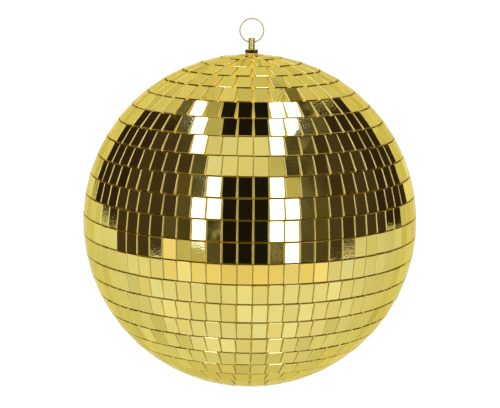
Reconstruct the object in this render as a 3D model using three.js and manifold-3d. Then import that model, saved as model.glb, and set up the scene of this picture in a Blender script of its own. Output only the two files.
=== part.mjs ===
// A hanging mirror ball, 300 mm across: a hollow moulded core in two halves, 25 rows of small rectangular
// mirrors glued round it, and a threaded pin with nuts and washers at the top that carries a split ring.
// Millimetres, +Z up. The origin is where a hook bears, inside the top of the split ring.
import * as THREE from "three";
import { mergeVertices } from "three/addons/utils/BufferGeometryUtils.js";
import Module from "manifold-3d";

const wasm = await Module();
wasm.setup();

// Mirrors. The rows run from pole to pole, one of them centred on the equator.
const BALL_RADIUS = 150; // centre of the ball to the middle of a mirror's face
const POLE_OPENING_RADIUS = 8.6; // bare circle that the rows leave round each pole
const ROWS_EACH_SIDE = 12; // rows between the equator's row and each pole
const MIRRORS_AT_EQUATOR = 72;
const SHEET_ROWS_EACH_SIDE = 1; // rows next to the equator's that share its columns, being one sheet
const MIRROR_WIDTH = 12.4;
const MIRROR_HEIGHT = 17.6;
const MIRROR_THICKNESS = 1.5;
const BACKING_THICKNESS = 0.3; // cloth that holds a row's mirrors together
const SIDE_CLEARANCE = 0.1; // least room beside a mirror, at its end nearer the pole
const OPEN_GAP = 3; // a row whose gaps fan out wider than this is cut into single mirrors
const CUT_MIRROR_TRIM = 0.7; // taken off a single mirror's height, so that its corners clear the next row
const START_MERIDIAN = 1.1; // degrees round from -Y towards +X, where every row has a seam

// Core. The two halves meet at the equator, where a lip on the lower one plugs into the upper one.
const GLUE_GAP = 0.6; // adhesive between the rows' backing and the core
const CORE_WALL = 3;
const RIM_GAP = 0.3;
const LIP_HEIGHT = 6;
const LIP_WALL = 1.5;
const BOSS_RADIUS = 8; // raised disc at each pole, inside the rows' opening
const PAD_RADIUS = 31; // flat inside the top of the core, where the anchor plate bears
const CORE_SIDES = 32;
const CORE_ARC_STEPS = 7;

// Hanging hardware, M6.
const PIN_RADIUS = 3;
const PIN_STANDOUT = 10.3; // pin above the outer nut
const PIN_TAIL = 4; // pin below the inner nut
const PIN_CHAMFER = 0.5;
const HOLE_RADIUS = 1.7; // cross hole for the split ring
const HOLE_DEPTH = 4; // from the pin's top to the middle of the cross hole
const CLEARANCE_RADIUS = 3.3; // every bore that the pin passes through
const NUT_ACROSS_FLATS = 10;
const THIN_NUT_HEIGHT = 3.2;
const NUT_HEIGHT = 5;
const WASHER_RADIUS = 6;
const WASHER_THICKNESS = 1.6;
const LOCK_WASHER_RADIUS = 5.9;
const LOCK_WASHER_SLOT = 8; // degrees
const PLATE_RADIUS = 28;
const PLATE_THICKNESS = 2;
const HARDWARE_SIDES = 24;

// Split ring: flat wire wound twice round, one turn lying on the other.
const RING_OUTER_RADIUS = 11.2;
const WIRE_WIDTH = 1.3; // measured along the ring's radius
const WIRE_THICKNESS = 1;
const TURN_PITCH = 1.04;
const STEP_ANGLE = 40; // degrees over which the wire steps from one turn to the next
const STEP_AT = 50; // degrees above the ring's right side
const RING_STEPS = 56;

const radians = THREE.MathUtils.degToRad;
const poleAngle = Math.asin(POLE_OPENING_RADIUS / BALL_RADIUS);
const rowPitch = (Math.PI - 2 * poleAngle) / (2 * ROWS_EACH_SIDE + 1);
const bandThickness = MIRROR_THICKNESS + BACKING_THICKNESS;
const coreRadius = BALL_RADIUS - bandThickness - GLUE_GAP;
const coreInside = coreRadius - CORE_WALL;

// Heights above the ball's centre.
const bossTop = BALL_RADIUS;
const lowerBossFace = -(BALL_RADIUS - bandThickness);
const padFace = Math.sqrt(coreInside ** 2 - PAD_RADIUS ** 2);
const nutBase = bossTop + WASHER_THICKNESS;
const pinTop = nutBase + THIN_NUT_HEIGHT + PIN_STANDOUT;
const holeHeight = pinTop - HOLE_DEPTH;
const plateBottom = padFace - PLATE_THICKNESS;
const innerNutTop = plateBottom - WASHER_THICKNESS;
const pinBottom = innerNutTop - NUT_HEIGHT - PIN_TAIL;
const wireRadius = RING_OUTER_RADIUS - WIRE_WIDTH / 2;
const hangHeight = holeHeight + 2 * wireRadius - WIRE_WIDTH / 2;

function material(color, roughness, metalness) {
  return new THREE.MeshStandardMaterial({ color, roughness, metalness });
}

const goldMirror = material(0xe3cf6a, 0.04, 1);
const corePlastic = material(0xc79a2e, 0.55, 0);
const brassPlate = material(0xd2b84e, 0.2, 1);
const zincSteel = material(0xb9bcc0, 0.4, 0.9);

// Turns a profile of [radius, height] points about the Z axis. The profile runs anticlockwise, with its
// radius to the right.
function turned(profile, sides, phase = 0) {
  const points = profile.map(([radius, height]) => new THREE.Vector2(radius, height));
  return new THREE.LatheGeometry(points, sides, phase).rotateX(Math.PI / 2);
}

function closed(profile) {
  return [...profile, profile[0]];
}

// Points on a circle about the ball's centre, from one angle above the equator to another.
function arc(radius, from, to) {
  return Array.from({ length: CORE_ARC_STEPS + 1 }, (_, i) => {
    const angle = THREE.MathUtils.lerp(from, to, i / CORE_ARC_STEPS);
    return [radius * Math.cos(angle), radius * Math.sin(angle)];
  });
}

function solid(geometry) {
  const bare = geometry.clone();
  bare.deleteAttribute("normal");
  bare.deleteAttribute("uv");
  const merged = mergeVertices(bare, 1e-4);
  const vertProperties = merged.getAttribute("position").array;
  const triVerts = new Uint32Array(merged.index.array);
  return new wasm.Manifold(new wasm.Mesh({ numProp: 3, vertProperties, triVerts }));
}

function geometryOf(manifold) {
  const { vertProperties, triVerts } = manifold.getMesh();
  const geometry = new THREE.BufferGeometry();
  geometry.setAttribute("position", new THREE.BufferAttribute(vertProperties, 3));
  geometry.setIndex(new THREE.BufferAttribute(triVerts, 1));
  geometry.computeVertexNormals();
  return geometry;
}

function named(name, geometry, finish) {
  const mesh = new THREE.Mesh(geometry, finish);
  mesh.name = name;
  return mesh;
}

// How many mirrors fit in a row: the equator's spacing, or fewer where their ends near the pole would touch.
function mirrorCount(row) {
  if (Math.abs(row) <= SHEET_ROWS_EACH_SIDE) return MIRRORS_AT_EQUATOR;
  const latitude = Math.abs(row) * rowPitch;
  const bySpacing = Math.round(MIRRORS_AT_EQUATOR * Math.cos(latitude));
  const endRadius = BALL_RADIUS * Math.cos(latitude) - (MIRROR_HEIGHT / 2) * Math.sin(latitude);
  const room = Math.atan((MIRROR_WIDTH / 2 + SIDE_CLEARANCE) / endRadius);
  return Math.min(bySpacing, Math.floor(Math.PI / room));
}

// A row whose mirrors stand close together: one flat facet for each mirror.
function closeRow(latitude, count, phase) {
  const spread = 1 / Math.cos(Math.PI / count);
  const at = (depth, along) => [
    ((BALL_RADIUS - depth) * Math.cos(latitude) - along * Math.sin(latitude)) * spread,
    (BALL_RADIUS - depth) * Math.sin(latitude) + along * Math.cos(latitude),
  ];
  const half = MIRROR_HEIGHT / 2;
  const section = [at(bandThickness, -half), at(0, -half), at(0, half), at(bandThickness, half)];
  return turned(closed(section), count, phase).toNonIndexed();
}

// A row near a pole, where the gaps fan out: single mirrors, with nothing but backing from one to the next.
function openRow(latitude, count, phase) {
  const depths = [0, MIRROR_THICKNESS, bandThickness];
  const height = MIRROR_HEIGHT - CUT_MIRROR_TRIM;
  const points = [];
  for (let i = 0; i < count; i++) {
    const angle = phase + (2 * Math.PI * (i + 0.5)) / count;
    for (const side of [-1, 1]) {
      for (const end of [-1, 1]) {
        for (const depth of depths) {
          const across = (side * MIRROR_WIDTH) / 2;
          const corner = new THREE.Vector3(across, depth - BALL_RADIUS, (end * height) / 2);
          corner.applyAxisAngle(new THREE.Vector3(1, 0, 0), -latitude);
          points.push(corner.applyAxisAngle(new THREE.Vector3(0, 0, 1), angle));
        }
      }
    }
  }
  const corner = (mirror, side, end, level) => points[(mirror % count) * 12 + side * 6 + end * 3 + level];
  const faces = [];
  const face = (a, b, c, d) => faces.push(a, b, c, a, c, d);
  // Outer and inner faces and both ends of the slab from the edge called left to the edge called right.
  const slab = (left, right, top, bottom) => {
    face(left(0, top), right(0, top), right(1, top), left(1, top));
    face(left(0, bottom), left(1, bottom), right(1, bottom), right(0, bottom));
    for (let level = top; level < bottom; level++) {
      face(left(1, level + 1), left(1, level), right(1, level), right(1, level + 1));
      face(left(0, level + 1), right(0, level + 1), right(0, level), left(0, level));
    }
  };
  for (let i = 0; i < count; i++) {
    const left = (end, level) => corner(i, 0, end, level);
    const right = (end, level) => corner(i, 1, end, level);
    const next = (end, level) => corner(i + 1, 0, end, level);
    slab(left, right, 0, 2);
    face(left(0, 0), left(1, 0), left(1, 1), left(0, 1));
    face(right(0, 1), right(1, 1), right(1, 0), right(0, 0));
    slab(right, next, 1, 2);
  }
  return new THREE.BufferGeometry().setFromPoints(faces);
}

function mirrorRow(row) {
  const latitude = row * rowPitch;
  const count = mirrorCount(row);
  const phase = radians(START_MERIDIAN);
  const wideEnd = BALL_RADIUS * Math.cos(latitude) + (MIRROR_HEIGHT / 2) * Math.sin(Math.abs(latitude));
  const widestGap = (2 * Math.PI * wideEnd) / count - MIRROR_WIDTH;
  const build = widestGap > OPEN_GAP ? openRow : closeRow;
  const side = row > 0 ? "upper" : "lower";
  const name = row ? `mirror_row_${side}_${String(Math.abs(row)).padStart(2, "0")}` : "mirror_row_equator";
  const facets = build(latitude, count, phase);
  facets.computeVertexNormals();
  return named(name, facets, goldMirror);
}

// The last cut mirror, which closes the opening at the bottom.
function bottomMirror() {
  const mirror = new THREE.BoxGeometry(MIRROR_WIDTH, MIRROR_WIDTH, MIRROR_THICKNESS);
  return named("mirror_bottom_pole", mirror.translate(0, 0, -BALL_RADIUS + MIRROR_THICKNESS / 2), goldMirror);
}

function upperCore() {
  const rimAngle = Math.asin(RIM_GAP / 2 / coreRadius);
  const stepHeight = LIP_HEIGHT + RIM_GAP;
  const rebateRadius = coreInside + LIP_WALL + RIM_GAP;
  return named(
    "core_upper_half",
    turned(
      closed([
        ...arc(coreRadius, rimAngle, Math.acos(BOSS_RADIUS / coreRadius)),
        [BOSS_RADIUS, bossTop],
        [CLEARANCE_RADIUS, bossTop],
        [CLEARANCE_RADIUS, padFace],
        ...arc(coreInside, Math.acos(PAD_RADIUS / coreInside), Math.asin(stepHeight / coreInside)),
        [rebateRadius, stepHeight],
        [rebateRadius, RIM_GAP / 2],
      ]),
      CORE_SIDES,
    ),
    corePlastic,
  );
}

function lowerCore() {
  const rimAngle = Math.asin(-RIM_GAP / 2 / coreRadius);
  const lipRadius = coreInside + LIP_WALL;
  return named(
    "core_lower_half",
    turned(
      [
        [0, lowerBossFace],
        [BOSS_RADIUS, lowerBossFace],
        ...arc(coreRadius, -Math.acos(BOSS_RADIUS / coreRadius), rimAngle),
        [lipRadius, -RIM_GAP / 2],
        [lipRadius, LIP_HEIGHT],
        ...arc(coreInside, Math.asin(LIP_HEIGHT / coreInside), -Math.PI / 2).slice(0, -1),
        [0, -coreInside],
      ],
      CORE_SIDES,
    ),
    corePlastic,
  );
}

// A flat ring round the pin.
function collar(name, outerRadius, bottom, top, finish) {
  const section = [
    [CLEARANCE_RADIUS, bottom],
    [outerRadius, bottom],
    [outerRadius, top],
    [CLEARANCE_RADIUS, top],
  ];
  return named(name, turned(closed(section), HARDWARE_SIDES), finish);
}

function hexNut(name, bottom, height, finish) {
  const cornerRadius = NUT_ACROSS_FLATS / 2 / Math.cos(Math.PI / 6);
  const hexagon = new THREE.Shape();
  for (let i = 0; i < 6; i++) {
    const angle = (i * Math.PI) / 3;
    hexagon[i ? "lineTo" : "moveTo"](cornerRadius * Math.cos(angle), cornerRadius * Math.sin(angle));
  }
  const bore = new THREE.Path().absarc(0, 0, CLEARANCE_RADIUS, 0, 2 * Math.PI, true);
  hexagon.holes.push(bore);
  const prism = new THREE.ExtrudeGeometry(hexagon, {
    depth: height,
    bevelEnabled: false,
    curveSegments: HARDWARE_SIDES / 2,
  });
  // The corners are turned down at 30 degrees at both ends.
  const flat = NUT_ACROSS_FLATS / 2;
  const drop = (cornerRadius - flat) * Math.tan(Math.PI / 6);
  const corners = turned(
    [
      [0, 0],
      [flat, 0],
      [cornerRadius, drop],
      [cornerRadius, height - drop],
      [flat, height],
      [0, height],
    ],
    HARDWARE_SIDES,
  );
  return named(name, geometryOf(solid(prism).intersect(solid(corners))).translate(0, 0, bottom), finish);
}

// A spring washer, pressed flat, with its slot towards +Y.
function lockWasher(bottom, top) {
  const from = radians(90 + LOCK_WASHER_SLOT / 2);
  const to = radians(450 - LOCK_WASHER_SLOT / 2);
  const outline = new THREE.Shape()
    .absarc(0, 0, LOCK_WASHER_RADIUS, from, to, false)
    .absarc(0, 0, CLEARANCE_RADIUS, to, from, true);
  const washer = new THREE.ExtrudeGeometry(outline, {
    depth: top - bottom,
    bevelEnabled: false,
    curveSegments: HARDWARE_SIDES / 2,
  });
  return named("lock_washer", washer.translate(0, 0, bottom), zincSteel);
}

function hangingPin() {
  const stem = turned(
    [
      [0, pinBottom],
      [PIN_RADIUS - PIN_CHAMFER, pinBottom],
      [PIN_RADIUS, pinBottom + PIN_CHAMFER],
      [PIN_RADIUS, pinTop - PIN_CHAMFER],
      [PIN_RADIUS - PIN_CHAMFER, pinTop],
      [0, pinTop],
    ],
    HARDWARE_SIDES,
  );
  const hole = new THREE.CylinderGeometry(HOLE_RADIUS, HOLE_RADIUS, 4 * PIN_RADIUS, HARDWARE_SIDES);
  hole.rotateZ(Math.PI / 2).translate(0, 0, holeHeight);
  return named("hanging_pin", geometryOf(solid(stem).subtract(solid(hole))), brassPlate);
}

// The ring's wire: nearly two turns in the XZ plane, stepping along Y halfway.
class SplitRingCurve extends THREE.Curve {
  getPoint(t, target = new THREE.Vector3()) {
    const sweep = radians(720 - STEP_ANGLE);
    const fromStep = (t - 0.5) * sweep;
    const angle = radians(STEP_AT) + fromStep;
    const along = THREE.MathUtils.smoothstep(fromStep, -radians(STEP_ANGLE / 2), radians(STEP_ANGLE / 2));
    return target.set(wireRadius * Math.cos(angle), (along - 0.5) * TURN_PITCH, wireRadius * Math.sin(angle));
  }
}

function splitRing() {
  const section = new THREE.Shape()
    .moveTo(-WIRE_THICKNESS / 2, -WIRE_WIDTH / 2)
    .lineTo(WIRE_THICKNESS / 2, -WIRE_WIDTH / 2)
    .lineTo(WIRE_THICKNESS / 2, WIRE_WIDTH / 2)
    .lineTo(-WIRE_THICKNESS / 2, WIRE_WIDTH / 2);
  const wire = new THREE.ExtrudeGeometry(section, { steps: RING_STEPS, extrudePath: new SplitRingCurve() });
  return named("split_ring", wire.translate(0, 0, holeHeight + wireRadius), brassPlate);
}

const mirrorBall = new THREE.Group();
mirrorBall.position.z = -hangHeight;
mirrorBall.add(
  upperCore(),
  lowerCore(),
  collar("anchor_plate", PLATE_RADIUS, plateBottom, padFace, zincSteel),
  lockWasher(innerNutTop, plateBottom),
  hexNut("inner_nut", innerNutTop - NUT_HEIGHT, NUT_HEIGHT, zincSteel),
  collar("outer_washer", WASHER_RADIUS, bossTop, nutBase, brassPlate),
  hexNut("outer_nut", nutBase, THIN_NUT_HEIGHT, brassPlate),
  hangingPin(),
  splitRing(),
  bottomMirror(),
);
for (let row = -ROWS_EACH_SIDE; row <= ROWS_EACH_SIDE; row++) mirrorBall.add(mirrorRow(row));

const assembly = new THREE.Group();
assembly.add(mirrorBall);

export default assembly;
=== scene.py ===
import math
import random

import bpy
from mathutils import Euler, Matrix, Vector


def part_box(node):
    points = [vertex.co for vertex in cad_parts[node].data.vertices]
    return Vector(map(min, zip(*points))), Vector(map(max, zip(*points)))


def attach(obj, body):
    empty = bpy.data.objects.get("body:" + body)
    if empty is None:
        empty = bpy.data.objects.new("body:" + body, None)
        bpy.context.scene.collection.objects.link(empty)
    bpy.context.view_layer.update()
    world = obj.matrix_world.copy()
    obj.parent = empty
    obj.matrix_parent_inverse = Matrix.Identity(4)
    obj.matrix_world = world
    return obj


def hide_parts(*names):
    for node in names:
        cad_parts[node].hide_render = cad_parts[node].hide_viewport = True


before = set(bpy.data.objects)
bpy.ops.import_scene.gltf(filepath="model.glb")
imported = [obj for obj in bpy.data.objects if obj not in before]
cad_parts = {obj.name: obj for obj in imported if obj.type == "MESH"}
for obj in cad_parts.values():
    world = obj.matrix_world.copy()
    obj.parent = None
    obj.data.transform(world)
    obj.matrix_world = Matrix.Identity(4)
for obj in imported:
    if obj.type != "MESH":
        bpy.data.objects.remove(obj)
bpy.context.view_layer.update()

MM = 0.001

# The ball's rows of mirrors, as the CAD model divides them.
BALL_RADIUS = 150 * MM
POLE_OPENING_RADIUS = 8.6 * MM
ROWS_EACH_SIDE = 12
MIRRORS_AT_EQUATOR = 72
SHEET_ROWS_EACH_SIDE = 1
MIRROR_WIDTH = 12.4 * MM
MIRROR_HEIGHT = 17.6 * MM
MIRROR_THICKNESS = 1.5 * MM
BACKING_THICKNESS = 0.3 * MM
SIDE_CLEARANCE = 0.1 * MM
OPEN_GAP = 3 * MM
CUT_MIRROR_TRIM = 0.7 * MM
START_MERIDIAN = math.radians(1.1)

# How each mirror is cut and laid.
BEVEL_WIDTH = 0.5 * MM
BEVEL_DEPTH = 0.75 * MM
# From the bevel's inner edge to the side: share of its width left, share of its depth, slope from the face.
BEVEL_PROFILE = ((1.0, 0.0, 50), (0.12, 0.9, 66), (0.0, 1.15, 90))
BEVEL_WIDTH_SHARES = (0.8, 1.15)
CORNER_CUT = 0.35 * MM
CORNER_CUT_SHARES = (0.4, 1.3)
SIZE_SPREAD = 0.06 * MM
LIFT_SPREAD = 0.04 * MM
SLIDE_SPREAD = 0.07 * MM
TILT_SPREAD = math.radians(0.35)
TURN_SPREAD = math.radians(0.3)
LAYING_SEED = 12

# Hardware, as the CAD model has it.
PIN_CLEARANCE = 3.3 * MM
CROSS_HOLE_RADIUS = 1.7 * MM
CROSS_HOLE_DEPTH = 4 * MM
PIN_CHAMFER = 0.5 * MM
RING_OUTER_RADIUS = 11.2 * MM
WIRE_WIDTH = 1.3 * MM
WIRE_THICKNESS = 1.0 * MM
WIRE_ROUNDING = 0.3 * MM
TURN_PITCH = 1.04 * MM
STEP_ANGLE = math.radians(40)
STEP_AT = math.radians(50)

# Camera, with azimuth 0 looking along +Y, and the studio round the ball.
CAMERA_ELEVATION = math.radians(10.6)
CAMERA_DISTANCE = 10.5 * BALL_RADIUS
CAMERA_LENS = 125.1
AIM_ABOVE_CENTRE = 14.6 * MM
CAMERA_ROLL = math.radians(0.6)
FLOOR_BELOW_CENTRE = 2.5
STUDIO_RADIUS = 2.1
# Share of that radius between one layer of panels and the next.
LAYER_SPACING = 0.02
# Degrees round from the camera's side to the ends of the dark curtain.
CURTAIN_REACH = 136

row_pitch = (math.pi - 2 * math.asin(POLE_OPENING_RADIUS / BALL_RADIUS)) / (2 * ROWS_EACH_SIDE + 1)
low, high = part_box("mirror_row_equator")
ball_centre = (low + high) / 2


# ---------------------------------------------------------------- node helpers


class Nodes:
    """A material's node tree, with short calls that add a node and return its output."""

    def __init__(self, name):
        self.material = bpy.data.materials.new(name)
        self.material.use_nodes = True
        self.tree = self.material.node_tree
        self.tree.nodes.clear()
        self.output = self.tree.nodes.new("ShaderNodeOutputMaterial")

    def add(self, kind, inputs=None, **settings):
        node = self.tree.nodes.new(kind)
        for key, value in settings.items():
            setattr(node, key, value)
        for key, value in (inputs or {}).items():
            self.feed(node.inputs[key], value)
        return node

    def feed(self, socket, value):
        if isinstance(value, bpy.types.NodeSocket):
            self.tree.links.new(value, socket)
        else:
            socket.default_value = value

    def math(self, operation, first, second=0.0):
        return self.add("ShaderNodeMath", {0: first, 1: second}, operation=operation).outputs[0]

    def coordinates(self):
        return self.add("ShaderNodeTexCoord").outputs["Object"]

    def noise(self, size, detail=2.0, stretch=(1, 1, 1), roughness=0.5):
        """Noise of that grain size, in metres, longer along an axis whose stretch is above 1."""
        scale = tuple(1 / (size * s) for s in stretch)
        placed = self.add("ShaderNodeMapping", {"Vector": self.coordinates(), "Scale": scale})
        inputs = {"Vector": placed.outputs[0], "Scale": 1.0, "Detail": detail, "Roughness": roughness}
        return self.add("ShaderNodeTexNoise", inputs).outputs["Fac"]

    def blend(self, factor, first, second):
        """A colour between two colours."""
        node = self.add("ShaderNodeMix", data_type="RGBA", clamp_factor=True)
        for socket, value in ((node.inputs[0], factor), (node.inputs[6], first), (node.inputs[7], second)):
            self.feed(socket, value)
        return node.outputs[2]

    def span(self, factor, low, high):
        """Maps 0 to 1 onto low to high."""
        inputs = {"Value": factor, "To Min": low, "To Max": high}
        return self.add("ShaderNodeMapRange", inputs).outputs["Result"]

    def bump(self, height, depth, under=None):
        """A bump whose height runs over depth metres."""
        inputs = {"Height": height, "Distance": depth, "Strength": 1.0}
        if under is not None:
            inputs["Normal"] = under
        return self.add("ShaderNodeBump", inputs).outputs["Normal"]

    def finish(self, **inputs):
        """Ends the tree in a Principled shader. An underscore in a name stands for a space."""
        shader = self.add("ShaderNodeBsdfPrincipled")
        for key, value in inputs.items():
            self.feed(shader.inputs[key.replace("_", " ")], value)
        self.tree.links.new(shader.outputs[0], self.output.inputs[0])
        return self.material

    def shine(self, colour, strength):
        """Ends the tree in light of that colour."""
        emission = self.add("ShaderNodeEmission", {"Color": colour, "Strength": strength})
        self.tree.links.new(emission.outputs[0], self.output.inputs[0])
        return self.material


def rgba(red, green, blue):
    return (red, green, blue, 1.0)


# ------------------------------------------------------------------- materials


def gold_mirror():
    """Gold-tinted mirror glass: sharp on the face, saw-marked on the bevelled edges.
    The attribute edge holds millimetres across and along an edge, and 0 on the face, 0.5 on a level edge
    or 1 on an upright one. The attribute lay holds three random numbers for each mirror."""
    n = Nodes("gold_mirror")
    edge = n.add("ShaderNodeAttribute", attribute_name="edge")
    across, along, kind = n.add("ShaderNodeSeparateXYZ", {0: edge.outputs["Vector"]}).outputs
    lay = n.add("ShaderNodeAttribute", attribute_name="lay")
    tint, haze, crumple = n.add("ShaderNodeSeparateXYZ", {0: lay.outputs["Vector"]}).outputs
    on_edge = n.math("GREATER_THAN", kind, 0.25)
    on_upright = n.math("GREATER_THAN", kind, 0.75)
    # Colour varies a little from mirror to mirror, and edges show the glass's own deeper gold.
    face = n.blend(tint, rgba(0.75, 0.615, 0.16), rgba(0.86, 0.76, 0.25))
    face = n.blend(n.span(n.noise(0.03), -0.4, 0.6), face, rgba(0.80, 0.655, 0.16))
    # Saw marks cross an upright edge on the slant, and are uneven.
    slant = n.math("ADD", along, n.math("MULTIPLY", across, 1.3))
    ragged = n.math("ADD", slant, n.math("MULTIPLY", n.noise(0.0015), 0.9))
    teeth = n.math("FRACT", n.math("MULTIPLY", ragged, 0.6))
    marks = n.math("MULTIPLY", n.math("PINGPONG", teeth, 0.5), n.math("MULTIPLY", on_upright, 2.0))
    cloudy = n.span(n.noise(0.0016, detail=3), -0.6, 1.6)
    level_cut = n.blend(cloudy, rgba(0.52, 0.38, 0.06), rgba(0.72, 0.58, 0.16))
    sawn_off = n.math("MULTIPLY", n.span(marks, -0.3, 1.5), n.span(cloudy, 0.5, 1.2))
    upright_cut = n.blend(sawn_off, rgba(0.60, 0.41, 0.02), rgba(0.95, 0.90, 0.42))
    cut = n.blend(on_upright, level_cut, upright_cut)
    colour = n.blend(on_edge, face, cut)
    smear = n.math("MULTIPLY", n.noise(0.006, stretch=(1, 1, 3)), haze)
    face_roughness = n.span(smear, 0.012, 0.05)
    edge_roughness = n.math("ADD", n.math("MULTIPLY", on_edge, 0.03), n.math("MULTIPLY", on_upright, 0.22))
    roughness = n.math("ADD", edge_roughness, face_roughness)
    # Mirrors bend reflections: a slow wave over each one, and a fine grain that some have more of.
    wave = n.bump(n.noise(0.014, detail=1), 0.000030)
    grain_height = n.math("MULTIPLY", n.noise(0.0016, detail=3), n.span(crumple, 0.1, 2.6))
    grain = n.bump(grain_height, 0.00003, wave)
    sawn = n.bump(marks, 0.00018, grain)
    return n.finish(
        Base_Color=colour,
        Metallic=n.math("SUBTRACT", 1.0, n.math("MULTIPLY", on_upright, 0.6)),
        Roughness=roughness,
        Specular_IOR_Level=0.3,
        Specular_Tint=rgba(0.96, 0.86, 0.42),
        Normal=sawn,
    )


def gold_paint():
    """Metallic gold paint on cloth and plastic, with a fine weave showing through."""
    n = Nodes("gold_paint")
    patch = n.noise(0.008, detail=4)
    colour = n.blend(patch, rgba(0.66, 0.41, 0.008), rgba(0.76, 0.54, 0.03))
    weave = n.noise(0.0007, detail=2)
    colour = n.blend(n.span(weave, -0.2, 0.45), colour, rgba(0.48, 0.28, 0.006))
    bumps = n.bump(weave, 0.00012)
    return n.finish(
        Base_Color=colour,
        Metallic=0.2,
        Roughness=n.span(patch, 0.4, 0.6),
        Specular_IOR_Level=0.15,
        Normal=bumps,
    )


def polished_metal(name, pale, deep, roughness, turning, metallic=1.0):
    """Polished metal with turning marks round Z, spaced turning metres apart, and faint stains."""
    n = Nodes(name)
    stain = n.noise(0.004, detail=4)
    marks = n.noise(turning, detail=2, stretch=(60, 60, 1))
    colour = n.blend(stain, pale, deep)
    rough = n.span(n.math("MULTIPLY", stain, marks), roughness, roughness * 2.4)
    return n.finish(
        Base_Color=colour,
        Metallic=metallic,
        Roughness=rough,
        Normal=n.bump(marks, turning * 0.05),
    )


def zinc_steel():
    """Zinc-plated steel with its spangle."""
    n = Nodes("zinc_steel")
    cells = n.add("ShaderNodeTexVoronoi", {"Vector": n.coordinates(), "Scale": 420.0}).outputs["Color"]
    shade = n.add("ShaderNodeSeparateXYZ", {0: cells}).outputs[0]
    colour = n.blend(shade, rgba(0.52, 0.54, 0.57), rgba(0.74, 0.75, 0.76))
    return n.finish(
        Base_Color=colour,
        Metallic=1.0,
        Roughness=n.span(shade, 0.28, 0.46),
        Normal=n.bump(n.noise(0.0005, detail=4), 0.00003),
    )


def glow(name, colour, cloudy=0.0):
    """A panel that shines with about that radiance, and that share less or more from place to place."""
    n = Nodes(name)
    strength = max(colour)
    shade = rgba(*(value / strength for value in colour))
    cloud = n.span(n.noise(0.3, detail=3), strength * (1 - 2 * cloudy), strength * (1 + 2 * cloudy))
    return n.shine(shade, cloud)


def crinkled_foil_glints():
    """The foil inside a lamp's hood: dim, with painted glints of lamp light along its folds."""
    n = Nodes("crinkled_foil_glints")
    folds = n.noise(0.03, detail=5, stretch=(1, 1, 1.5), roughness=0.85)
    # Painted glints: the peaks of the folds shine brightly, as though they caught the lamp.
    crease_glints = n.math("POWER", folds, 9.0)
    return n.shine(rgba(1.0, 0.88, 0.62), n.math("ADD", n.math("MULTIPLY", crease_glints, 30.0), 0.02))


def pale_floor():
    n = Nodes("pale_floor")
    return n.finish(Base_Color=rgba(0.9, 0.9, 0.89), Roughness=n.span(n.noise(0.2), 0.6, 0.75))


# ---------------------------------------------------------------- mesh helpers


def new_object(name, points, faces, material, smooth_below=None):
    """A mesh object. With smooth_below, it shades smoothly across edges flatter than that many degrees."""
    mesh = bpy.data.meshes.new(name)
    mesh.from_pydata([tuple(p) for p in points], [], faces)
    mesh.materials.append(material)
    if smooth_below is not None:
        mesh.shade_smooth()
        mesh.set_sharp_from_angle(angle=math.radians(smooth_below))
    mesh.validate()
    piece = bpy.data.objects.new(name, mesh)
    bpy.context.scene.collection.objects.link(piece)
    return piece


def between(limits, share):
    return limits[0] + (limits[1] - limits[0]) * share


def circle(segments):
    """Points round a unit circle."""
    angles = (2 * math.pi * i / segments for i in range(segments))
    return [(math.cos(angle), math.sin(angle)) for angle in angles]


def lofted(rings, closed):
    """Points and faces of a skin over rings of points. Each ring closes on itself. If closed, the last ring
    joins the first, and otherwise both ends are capped."""
    size = len(rings[0])
    points = [p for ring in rings for p in ring]
    faces = []
    for i in range(len(rings) if closed else len(rings) - 1):
        j = (i + 1) % len(rings)
        for k in range(size):
            m = (k + 1) % size
            faces.append((i * size + k, i * size + m, j * size + m, j * size + k))
    if not closed:
        faces.append(tuple(reversed(range(size))))
        faces.append(tuple((len(rings) - 1) * size + k for k in range(size)))
    return points, faces


def turned(name, profile, segments, material, smooth_below=30):
    """A ring about the Z axis. profile gives the section's (radius, height) points at an angle, anticlockwise
    with the radius to the right."""
    rings = []
    for i in range(segments):
        angle = 2 * math.pi * i / segments
        rings.append([(r * math.cos(angle), r * math.sin(angle), z) for r, z in profile(angle)])
    points, faces = lofted(rings, closed=True)
    return new_object(name, points, [tuple(reversed(f)) for f in faces], material, smooth_below)


def rounded(corners, radius, steps=4):
    """A polygon's outline with each corner rounded off."""
    points = []
    for i, corner in enumerate(corners):
        corner = Vector(corner)
        before = (Vector(corners[i - 1]) - corner).normalized() * radius
        after = (Vector(corners[(i + 1) % len(corners)]) - corner).normalized() * radius
        for k in range(steps + 1):
            t = k / steps
            points.append(corner + before * (1 - t) ** 2 + after * t**2)
    return points


def cut_away(piece, cutter):
    """Cuts cutter's shape out of piece, and removes cutter."""
    modifier = piece.modifiers.new("cut", "BOOLEAN")
    modifier.operation = "DIFFERENCE"
    modifier.solver = "EXACT"
    modifier.object = cutter
    apply_modifiers(piece)
    bpy.data.objects.remove(cutter)


def apply_modifiers(piece):
    bpy.context.view_layer.update()
    evaluated = piece.evaluated_get(bpy.context.evaluated_depsgraph_get())
    mesh = bpy.data.meshes.new_from_object(evaluated)
    piece.modifiers.clear()
    piece.data = mesh


def place(piece, body, slot, *nodes):
    """Puts a finished piece on its body in place of CAD nodes."""
    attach(piece, body)
    if nodes:
        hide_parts(*nodes)


# --------------------------------------------------------------------- mirrors


def mirror_count(row):
    if abs(row) <= SHEET_ROWS_EACH_SIDE:
        return MIRRORS_AT_EQUATOR
    latitude = abs(row) * row_pitch
    by_spacing = round(MIRRORS_AT_EQUATOR * math.cos(latitude))
    end_radius = BALL_RADIUS * math.cos(latitude) - MIRROR_HEIGHT / 2 * math.sin(latitude)
    room = math.atan((MIRROR_WIDTH / 2 + SIDE_CLEARANCE) / end_radius)
    return min(by_spacing, math.floor(math.pi / room))


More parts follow.
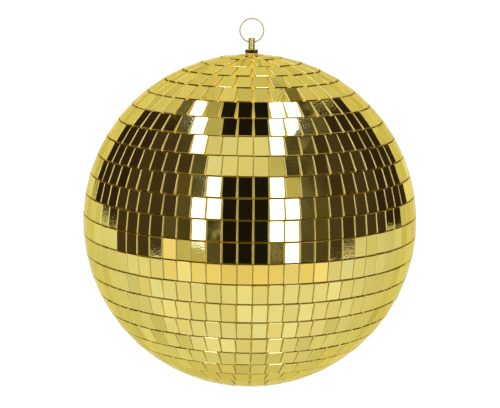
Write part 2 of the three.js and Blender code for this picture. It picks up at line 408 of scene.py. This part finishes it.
def mirror_height(row):
    """Rows near the poles, where the gaps fan out, are of mirrors cut a little shorter."""
    latitude = abs(row) * row_pitch
    wide_end = BALL_RADIUS * math.cos(latitude) + MIRROR_HEIGHT / 2 * math.sin(latitude)
    widest_gap = 2 * math.pi * wide_end / mirror_count(row) - MIRROR_WIDTH
    return MIRROR_HEIGHT - CUT_MIRROR_TRIM if widest_gap > OPEN_GAP else MIRROR_HEIGHT


def outline(half_width, half_height, cut):
    """Rectangle with its corners cut off, anticlockwise from the left end of the bottom edge."""
    return [
        (-half_width + cut, -half_height),
        (half_width - cut, -half_height),
        (half_width, -half_height + cut),
        (half_width, half_height - cut),
        (half_width - cut, half_height),
        (-half_width + cut, half_height),
        (-half_width, half_height - cut),
        (-half_width, -half_height + cut),
    ]


def bevel_rings(half_width, half_height, cut, ground):
    """Rings round a mirror's edge, from the face to the back. Each is its points, the slope there, and the
    way over the edge to it. ground is the bevel's width as a share of the usual one."""
    rings = []
    for width_left, depth_share, slope in BEVEL_PROFILE:
        inset = BEVEL_WIDTH * ground * width_left
        depth = BEVEL_DEPTH * depth_share
        points = [Vector((x, depth, z)) for x, z in outline(half_width - inset, half_height - inset, cut)]
        rings.append((points, math.radians(slope), depth + BEVEL_WIDTH * (1 - width_left)))
    side, _, way = rings[-1]
    back = [Vector((p.x, MIRROR_THICKNESS, p.z)) for p in side]
    rings.append((back, math.pi / 2, way + MIRROR_THICKNESS))
    return rings


class MirrorBuilder:
    """Collects mirrors into one mesh, with the attributes that the mirror material reads."""

    def __init__(self, rng):
        self.rng = rng
        self.points = []
        self.faces = []
        self.edge = []
        self.normals = []
        self.lay = []

    def add(self, width, height, matrix):
        """A mirror with bevelled edges, whose face lies in matrix's XZ plane and looks along -Y."""
        rng = self.rng
        half_width = (width + rng.gauss(0, SIZE_SPREAD)) / 2
        half_height = (height + rng.gauss(0, SIZE_SPREAD)) / 2
        ground = rng.uniform(*BEVEL_WIDTH_SHARES)
        cut = CORNER_CUT * rng.uniform(*CORNER_CUT_SHARES)
        lay = (rng.random(), rng.random(), rng.random() ** 1.5)
        rings = bevel_rings(half_width, half_height, cut, ground)
        back = rings[-1][0]
        start = len(self.points)
        for ring, _, _ in rings:
            self.points.extend(matrix @ point for point in ring)
        size = len(back)
        turn = matrix.to_3x3()
        front = turn @ Vector((0, -1, 0))
        self.face(range(start, start + size), [(0, 0, 0)] * size, [front] * size, lay)
        sides = [back[(i + 1) % size] - back[i] for i in range(size)]
        outward = [Vector((side.z, 0, -side.x)).normalized() for side in sides]
        for level, (ring, slope, way) in enumerate(rings[:-1]):
            next_ring, next_slope, next_way = rings[level + 1]
            base, above = start + level * size, start + (level + 1) * size
            for i in range(size):
                j = (i + 1) % size
                # Sides 2 and 6 of the outline stand upright.
                upright = i % 4 == 2
                corners = (next_ring[i], next_ring[j], ring[j], ring[i])
                ways = (next_way, next_way, way, way)
                kind = 1.0 if upright else 0.5
                edge = [(w / MM, p[2 if upright else 0] / MM, kind) for p, w in zip(corners, ways)]
                normals = [
                    turn @ (outward[i] * math.sin(angle) + Vector((0, -math.cos(angle), 0)))
                    for angle in (next_slope, next_slope, slope, slope)
                ]
                self.face((above + i, above + j, base + j, base + i), edge, normals, lay)
        last = start + (len(rings) - 1) * size
        self.face(reversed(range(last, last + size)), [(0, 0, 0.5)] * size, [-front] * size, lay)

    def face(self, corners, edge, normals, lay):
        self.faces.append(tuple(corners))
        self.edge.extend(edge)
        self.normals.extend(normals)
        self.lay.append(lay)

    def build(self, name, material):
        piece = new_object(name, self.points, self.faces, material, smooth_below=180)
        piece.data.normals_split_custom_set([tuple(n) for n in self.normals])
        edge = piece.data.attributes.new("edge", "FLOAT_VECTOR", "CORNER")
        edge.data.foreach_set("vector", [v for corner in self.edge for v in corner])
        lay = piece.data.attributes.new("lay", "FLOAT_VECTOR", "FACE")
        lay.data.foreach_set("vector", [v for face in self.lay for v in face])
        return piece


def laid(rng):
    """The small errors of a mirror laid by hand, in its own frame."""
    tilt = Euler((rng.gauss(0, TILT_SPREAD), rng.gauss(0, TURN_SPREAD), rng.gauss(0, TILT_SPREAD)))
    slide = Vector((rng.gauss(0, SLIDE_SPREAD), rng.gauss(0, LIFT_SPREAD), rng.gauss(0, SLIDE_SPREAD)))
    return Matrix.Translation(slide) @ tilt.to_matrix().to_4x4()


def row_node(row):
    if row == 0:
        return "mirror_row_equator"
    return f"mirror_row_{'upper' if row > 0 else 'lower'}_{abs(row):02d}"


def mirror_row(row, rng, material):
    latitude = row * row_pitch
    count = mirror_count(row)
    builder = MirrorBuilder(rng)
    for i in range(count):
        angle = START_MERIDIAN + 2 * math.pi * (i + 0.5) / count
        turn = Matrix.Rotation(angle, 4, "Z") @ Matrix.Rotation(-latitude, 4, "X")
        out = Matrix.Translation((0, -BALL_RADIUS, 0))
        matrix = Matrix.Translation(ball_centre) @ turn @ out @ laid(rng)
        builder.add(MIRROR_WIDTH, mirror_height(row), matrix)
    node = row_node(row)
    place(builder.build(node.replace("mirror_row", "mirrors"), material), "ball", "gold_mirror", node)


def bottom_mirror(rng, material):
    builder = MirrorBuilder(rng)
    down = Matrix.Rotation(math.pi / 2, 4, "X") @ Matrix.Translation((0, -BALL_RADIUS, 0))
    builder.add(MIRROR_WIDTH, MIRROR_WIDTH, Matrix.Translation(ball_centre) @ down)
    place(builder.build("mirror_at_bottom", material), "ball", "gold_mirror", "mirror_bottom_pole")


def backing_band(row, segments=144):
    """Rings of the strip of cloth behind one row's mirrors."""
    latitude = row * row_pitch
    half = mirror_height(row) / 2
    depths = (MIRROR_THICKNESS, MIRROR_THICKNESS + BACKING_THICKNESS)
    section = []
    for depth, along in ((depths[1], -half), (depths[0], -half), (depths[0], half), (depths[1], half)):
        radius = (BALL_RADIUS - depth) * math.cos(latitude) - along * math.sin(latitude)
        section.append((radius, (BALL_RADIUS - depth) * math.sin(latitude) + along * math.cos(latitude)))
    return [[ball_centre + Vector((r * x, r * y, z)) for r, z in section] for x, y in circle(segments)]


def backing(name, rows, material):
    """The cloth strips of several rows, as one piece of separate bands."""
    points = []
    faces = []
    for row in rows:
        band_points, band_faces = lofted(backing_band(row), closed=True)
        faces.extend(tuple(len(points) + k for k in reversed(face)) for face in band_faces)
        points.extend(band_points)
    place(new_object(name, points, faces, material, smooth_below=30), "ball", "core_plastic")


# -------------------------------------------------------------------- hardware


def flat_collar(node, rounding, slot, material):
    """A washer or plate: a flat ring with rounded edges that fills its CAD node's box."""
    low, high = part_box(node)
    outer = (high.x - low.x) / 2
    bore = PIN_CLEARANCE
    corners = [(bore, low.z), (outer, low.z), (outer, high.z), (bore, high.z)]
    section = rounded(corners, rounding)
    place(turned(node + "_turned", lambda _: section, 96, material), "ball", slot, node)


def hexagon_nut(node, slot, material):
    """A hexagon nut with its corners turned down and its bore countersunk."""
    low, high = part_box(node)
    flat = (high.y - low.y) / 2
    countersink = 0.35 * MM
    bore = PIN_CLEARANCE - 0.2 * MM
    face_radius = flat * 0.97
    slope = math.tan(math.radians(30))
    edge = 0.05 * MM

    def section(angle):
        off_middle = angle % (math.pi / 3) - math.pi / 6
        side = flat / math.cos(off_middle)
        drop = (side - face_radius) * slope
        return [
            (bore, low.z + countersink),
            (bore + countersink, low.z),
            (face_radius - edge, low.z),
            (face_radius, low.z + edge * slope),
            (side, low.z + drop + edge),
            (side, high.z - drop - edge),
            (face_radius, high.z - edge * slope),
            (face_radius - edge, high.z),
            (bore + countersink, high.z),
            (bore, high.z - countersink),
        ]

    place(turned(node + "_turned", section, 144, material, smooth_below=20), "ball", slot, node)


def hanging_pin(material):
    """The pin, chamfered at both ends, with its cross hole for the ring."""
    low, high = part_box("hanging_pin")
    radius = (high.x - low.x) / 2
    profile = [
        (radius - PIN_CHAMFER, low.z),
        (radius, low.z + PIN_CHAMFER),
        (radius, high.z - PIN_CHAMFER),
        (radius - PIN_CHAMFER, high.z),
    ]
    rings = [[(r * x, r * y, z) for x, y in circle(96)] for r, z in profile]
    points, faces = lofted(rings, closed=False)
    pin = new_object("hanging_pin_turned", points, faces, material)
    hole = high.z - CROSS_HOLE_DEPTH
    r = CROSS_HOLE_RADIUS
    rings = [[(x, r * y, hole + r * z) for y, z in circle(48)] for x in (-2 * radius, 2 * radius)]
    points, faces = lofted(rings, closed=False)
    cut_away(pin, new_object("cross_hole", points, faces, material))
    pin.data.shade_smooth()
    pin.data.set_sharp_from_angle(angle=math.radians(25))
    place(pin, "ball", "gold_hardware", "hanging_pin")


def split_ring(material):
    """Nearly two turns of rounded flat wire in the XZ plane, stepping along Y halfway."""
    wire_radius = RING_OUTER_RADIUS - WIRE_WIDTH / 2
    middle = Vector((0, 0, WIRE_WIDTH - RING_OUTER_RADIUS))
    half_width, half_thickness = WIRE_WIDTH / 2, WIRE_THICKNESS / 2
    corners = [
        (-half_width, -half_thickness),
        (half_width, -half_thickness),
        (half_width, half_thickness),
        (-half_width, half_thickness),
    ]
    section = rounded(corners, WIRE_ROUNDING)
    whole_way = 4 * math.pi - STEP_ANGLE
    steps = 300
    filed_steps = 4
    end_size = 0.72
    rings = []
    for i in range(steps + 1):
        from_step = (i / steps - 0.5) * whole_way
        angle = STEP_AT + from_step
        t = min(max(from_step / STEP_ANGLE + 0.5, 0), 1)
        shift = (t * t * (3 - 2 * t) - 0.5) * TURN_PITCH
        out = Vector((math.cos(angle), 0, math.sin(angle)))
        centre = middle + out * wire_radius + Vector((0, shift, 0))
        # The last 1.7 mm at each end is filed down.
        size = min(1, between((end_size, 1), min(i, steps - i) / filed_steps))
        rings.append([centre + (out * across + Vector((0, along, 0))) * size for across, along in section])
    points, faces = lofted(rings, closed=False)
    piece = new_object("split_ring_wire", points, faces, material, smooth_below=40)
    place(piece, "hanging_ring", "ring_wire", "split_ring")


# ---------------------------------------------------------------------- studio


def direction(azimuth, elevation):
    """Unit vector from the ball's centre, in degrees. Azimuth 0 is the camera's side and 90 is +X."""
    a, e = math.radians(azimuth), math.radians(elevation)
    return Vector((math.sin(a) * math.cos(e), -math.cos(a) * math.cos(e), math.sin(e)))


def wall(azimuths, elevations):
    """A panel's shape that stands round the ball. azimuths is (left, right), or gives it for an elevation."""

    def shape(u, v):
        elevation = between(elevations, v)
        limits = azimuths(elevation) if callable(azimuths) else azimuths
        return direction(between(limits, u), elevation)

    return shape


def arch(sideways, swings):
    """A panel's shape that runs up from the camera's side and over the ball, those degrees to the side."""

    def shape(u, v):
        side, swing = math.radians(between(sideways, u)), math.radians(between(swings, v))
        return Vector((math.sin(side), -math.cos(side) * math.cos(swing), math.cos(side) * math.sin(swing)))

    return shape


def studio_panel(name, material, shape, layer, steps=40):
    """A curved panel that only mirrors see. A higher layer is nearer and hides the ones under it."""
    radius = STUDIO_RADIUS * (1 - LAYER_SPACING * layer)
    row = steps + 1
    points = [ball_centre + shape(u / steps, v / steps) * radius for v in range(row) for u in range(row)]
    faces = [
        (i * row + j, i * row + j + 1, (i + 1) * row + j + 1, (i + 1) * row + j)
        for i in range(steps)
        for j in range(steps)
    ]
    panel = new_object("stage_" + name, points, faces, material)
    panel.visible_camera = False
    panel.visible_diffuse = False
    panel.visible_transmission = False
    panel.visible_shadow = False


def curtain_edge(elevation, bend):
    """How far round the dark curtain reaches at an elevation. Above bend its edge slants in, then stands."""
    slant_width = 22
    slant_height = 24
    return CURTAIN_REACH - slant_width * min(max((elevation - bend) / slant_height, 0), 1)


def sweep_top(azimuth):
    """How high the pale sweep of the floor reaches: low at the camera's side, and level at the back."""
    lowest = -18.5
    curve = 1.3
    return lowest * (1 - min(abs(azimuth) / CURTAIN_REACH, 1) ** curve)


def sweep(azimuths, depth=180):
    """A panel's shape that hangs that far down from the sweep's top, or as far as straight below."""

    def shape(u, v):
        azimuth = between(azimuths, u)
        top = sweep_top(azimuth)
        return direction(azimuth, between((max(-90, top - depth), top), v))

    return shape


def studio():
    """The studio as the mirrors see it: a pale sweep below and behind, in painted shade on its far side, a
    dark curtain on the camera's side, in painted light beside the lamps and painted shade between them, two
    long lamps that arch over the ball in parts, the foil hoods behind them with painted glints, and boards."""
    backdrop = glow("backdrop", (0.80, 0.76, 0.54), 0.18)
    pale = glow("sweep", (0.95, 0.95, 0.96), 0.12)
    # Painted shade: the sweep's far side, behind the ball, glows dimmer, as though in shade.
    behind = glow("sweep_behind_in_shade", (0.80, 0.80, 0.72), 0.16)
    warm = glow("sweep_top", (1.03, 0.90, 0.66), 0.1)
    brown = glow("curtain", (0.064, 0.047, 0.034), 0.25)
    # Painted light: beside the lamps the curtain glows brighter and more olive, as though they light it.
    lamp_lit_curtain = glow("curtain_lit_by_lamps", (0.105, 0.085, 0.048), 0.25)
    # Painted shade: between the lamps and overhead the curtain glows nearly black, as though in shade.
    curtain_shade = glow("curtain_in_shade", (0.012, 0.010, 0.012))
    dim = glow("curtain_end", (0.036, 0.023, 0.018), 0.2)
    lamp = glow("soft_light", (2.6, 2.9, 6.4))
    board = glow("pale_board", (0.88, 0.86, 0.82), 0.12)
    dull_board = glow("dull_board", (0.56, 0.53, 0.34), 0.3)
    dark_board = glow("dark_board", (0.20, 0.17, 0.08), 0.3)
    foil = crinkled_foil_glints()

    studio_panel("backdrop", backdrop, wall((-180, 180), (-10, 90)), 0)
    curtain_ends = wall(lambda e: (-curtain_edge(e, 31), curtain_edge(e, 38)), (-20, 84))
    studio_panel("curtain_ends", dim, curtain_ends, 1)
    studio_panel("curtain", brown, wall((-98, 98), (-20, 75)), 2)
    # Painted light on the curtain beside the lamps.
    studio_panel("curtain_lit_by_lamps", lamp_lit_curtain, wall((-54, 54), (-20, 70)), 3)
    # Painted shade on the curtain between the lamps and overhead.
    studio_panel("curtain_in_shade", curtain_shade, wall((-42, 42), (-20, 76)), 4)
    studio_panel("curtain_overhead", curtain_shade, arch((-42, 32), (70, 97)), 5)
    studio_panel("hood_left", foil, arch((-39, -18), (-20, 110)), 5.5, steps=24)
    studio_panel("hood_right", foil, arch((12, 38), (-20, 106)), 5.5, steps=24)
    studio_panel("board", board, arch((-25, 9), (40, 68)), 6)
    studio_panel("board_upper", dull_board, arch((-24, -15), (68, 104)), 6)
    studio_panel("board_side", dull_board, arch((9, 20), (40, 54)), 6)
    studio_panel("board_far", dark_board, arch((10, 22), (109, 118)), 6)
    studio_panel("board_lower", dull_board, arch((21, 30), (26, 39)), 6)
    studio_panel("board_at_bench", dull_board, wall((-48, -28), (-20, -8)), 6)
    # Each part of a lamp, as an arch's sideways limits and swings.
    lamps = (
        ((-37, -27), (-9.5, 26)),
        ((-28, -18), (9, 26)),
        ((-31, -21), (26, 39)),
        ((-33, -24), (54, 103)),
        ((21, 30), (-20, -4)),
        ((12, 30), (-4, 26)),
        ((12, 21), (26, 39)),
        ((13, 22), (54, 83)),
        ((12, 27), (83, 98)),
    )
    for i, (sideways, swings) in enumerate(lamps):
        studio_panel(f"lamp_{i + 1}", lamp, arch(sideways, swings), 7, steps=12)
    studio_panel("sweep", pale, sweep((-180, 180)), 8, steps=72)
    # Painted shade on the sweep's far side.
    studio_panel("sweep_behind_in_shade", behind, wall((85, 275), (-90, -3)), 9, steps=72)
    studio_panel("curtain_foot", brown, wall((-96, -66), (-13, -5)), 10, steps=12)
    studio_panel("bench", warm, wall((-58, -48), (-20, -5)), 10, steps=12)
    studio_panel("sweep_top", warm, sweep((-58, 58), 11), 10)


def floor(material):
    half = 40.0
    z = ball_centre.z - FLOOR_BELOW_CENTRE
    corners = [(-half, -half, z), (half, -half, z), (half, half, z), (-half, half, z)]
    plane = new_object("stage_floor", corners, [(0, 1, 2, 3)], material)
    plane.visible_glossy = False


def lights():
    world = bpy.data.worlds.new("white_studio")
    world.use_nodes = True
    background = world.node_tree.nodes["Background"]
    background.inputs["Color"].default_value = rgba(1.0, 1.0, 1.0)
    background.inputs["Strength"].default_value = 1.25
    bpy.context.scene.world = world
    light = bpy.data.lights.new("key_light", "AREA")
    light.shape = "DISK"
    light.size = 1.2
    light.energy = 12
    lamp = bpy.data.objects.new("key_light", light)
    bpy.context.scene.collection.objects.link(lamp)
    lamp.visible_glossy = False
    distance = 1.8
    lamp.location = ball_centre + direction(-55, 50) * distance
    lamp.rotation_euler = (ball_centre - lamp.location).to_track_quat("-Z", "Y").to_euler()


def camera():
    lens = bpy.data.cameras.new("camera")
    lens.lens = CAMERA_LENS
    lens.sensor_width = 36
    lens.clip_start = 0.05
    lens.clip_end = 200
    piece = bpy.data.objects.new("camera", lens)
    bpy.context.scene.collection.objects.link(piece)
    towards = direction(0, math.degrees(CAMERA_ELEVATION))
    up = Vector((0, math.sin(CAMERA_ELEVATION), math.cos(CAMERA_ELEVATION)))
    piece.location = ball_centre + towards * CAMERA_DISTANCE
    aim = ball_centre + up * AIM_ABOVE_CENTRE
    look = (aim - piece.location).to_track_quat("-Z", "Y").to_matrix()
    roll = Matrix.Rotation(CAMERA_ROLL, 3, "Z")
    piece.rotation_euler = (look @ roll).to_euler()
    bpy.context.scene.camera = piece


# ------------------------------------------------------------------------ make

camera()
lights()
floor(pale_floor())
studio()
bpy.context.scene.view_settings.view_transform = "Standard"

mirror_glass = gold_mirror()
paint = gold_paint()
gold_plate = polished_metal("gold_plate", rgba(0.80, 0.66, 0.20), rgba(0.68, 0.50, 0.10), 0.11, 0.00025)
pin_plate = polished_metal("pin_plate", rgba(0.78, 0.64, 0.18), rgba(0.66, 0.49, 0.08), 0.17, 0.00025, 0.8)
washer_plate = polished_metal("washer_plate", rgba(0.82, 0.58, 0.1), rgba(0.7, 0.42, 0.03), 0.3, 0.0003, 0.5)
ring_plate = polished_metal("ring_plate", rgba(0.66, 0.58, 0.30), rgba(0.50, 0.42, 0.17), 0.2, 0.0004, 0.45)
zinc = zinc_steel()

rng = random.Random(LAYING_SEED)
for row in range(-ROWS_EACH_SIDE, ROWS_EACH_SIDE + 1):
    mirror_row(row, rng, mirror_glass)
bottom_mirror(rng, mirror_glass)
backing("backing_equator", [0], paint)
backing("backing_upper", range(1, ROWS_EACH_SIDE + 1), paint)
backing("backing_lower", range(-ROWS_EACH_SIDE, 0), paint)

flat_collar("outer_washer", 0.25 * MM, "gold_hardware", washer_plate)
flat_collar("anchor_plate", 0.4 * MM, "zinc_steel", zinc)
hexagon_nut("outer_nut", "gold_hardware", gold_plate)
hexagon_nut("inner_nut", "zinc_steel", zinc)
hanging_pin(pin_plate)
split_ring(ring_plate)

# The core and the lock washer keep their CAD shapes.
for node, finish in (("core_upper_half", paint), ("core_lower_half", paint), ("lock_washer", zinc)):
    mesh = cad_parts[node].data
    mesh.materials.clear()
    mesh.materials.append(finish)
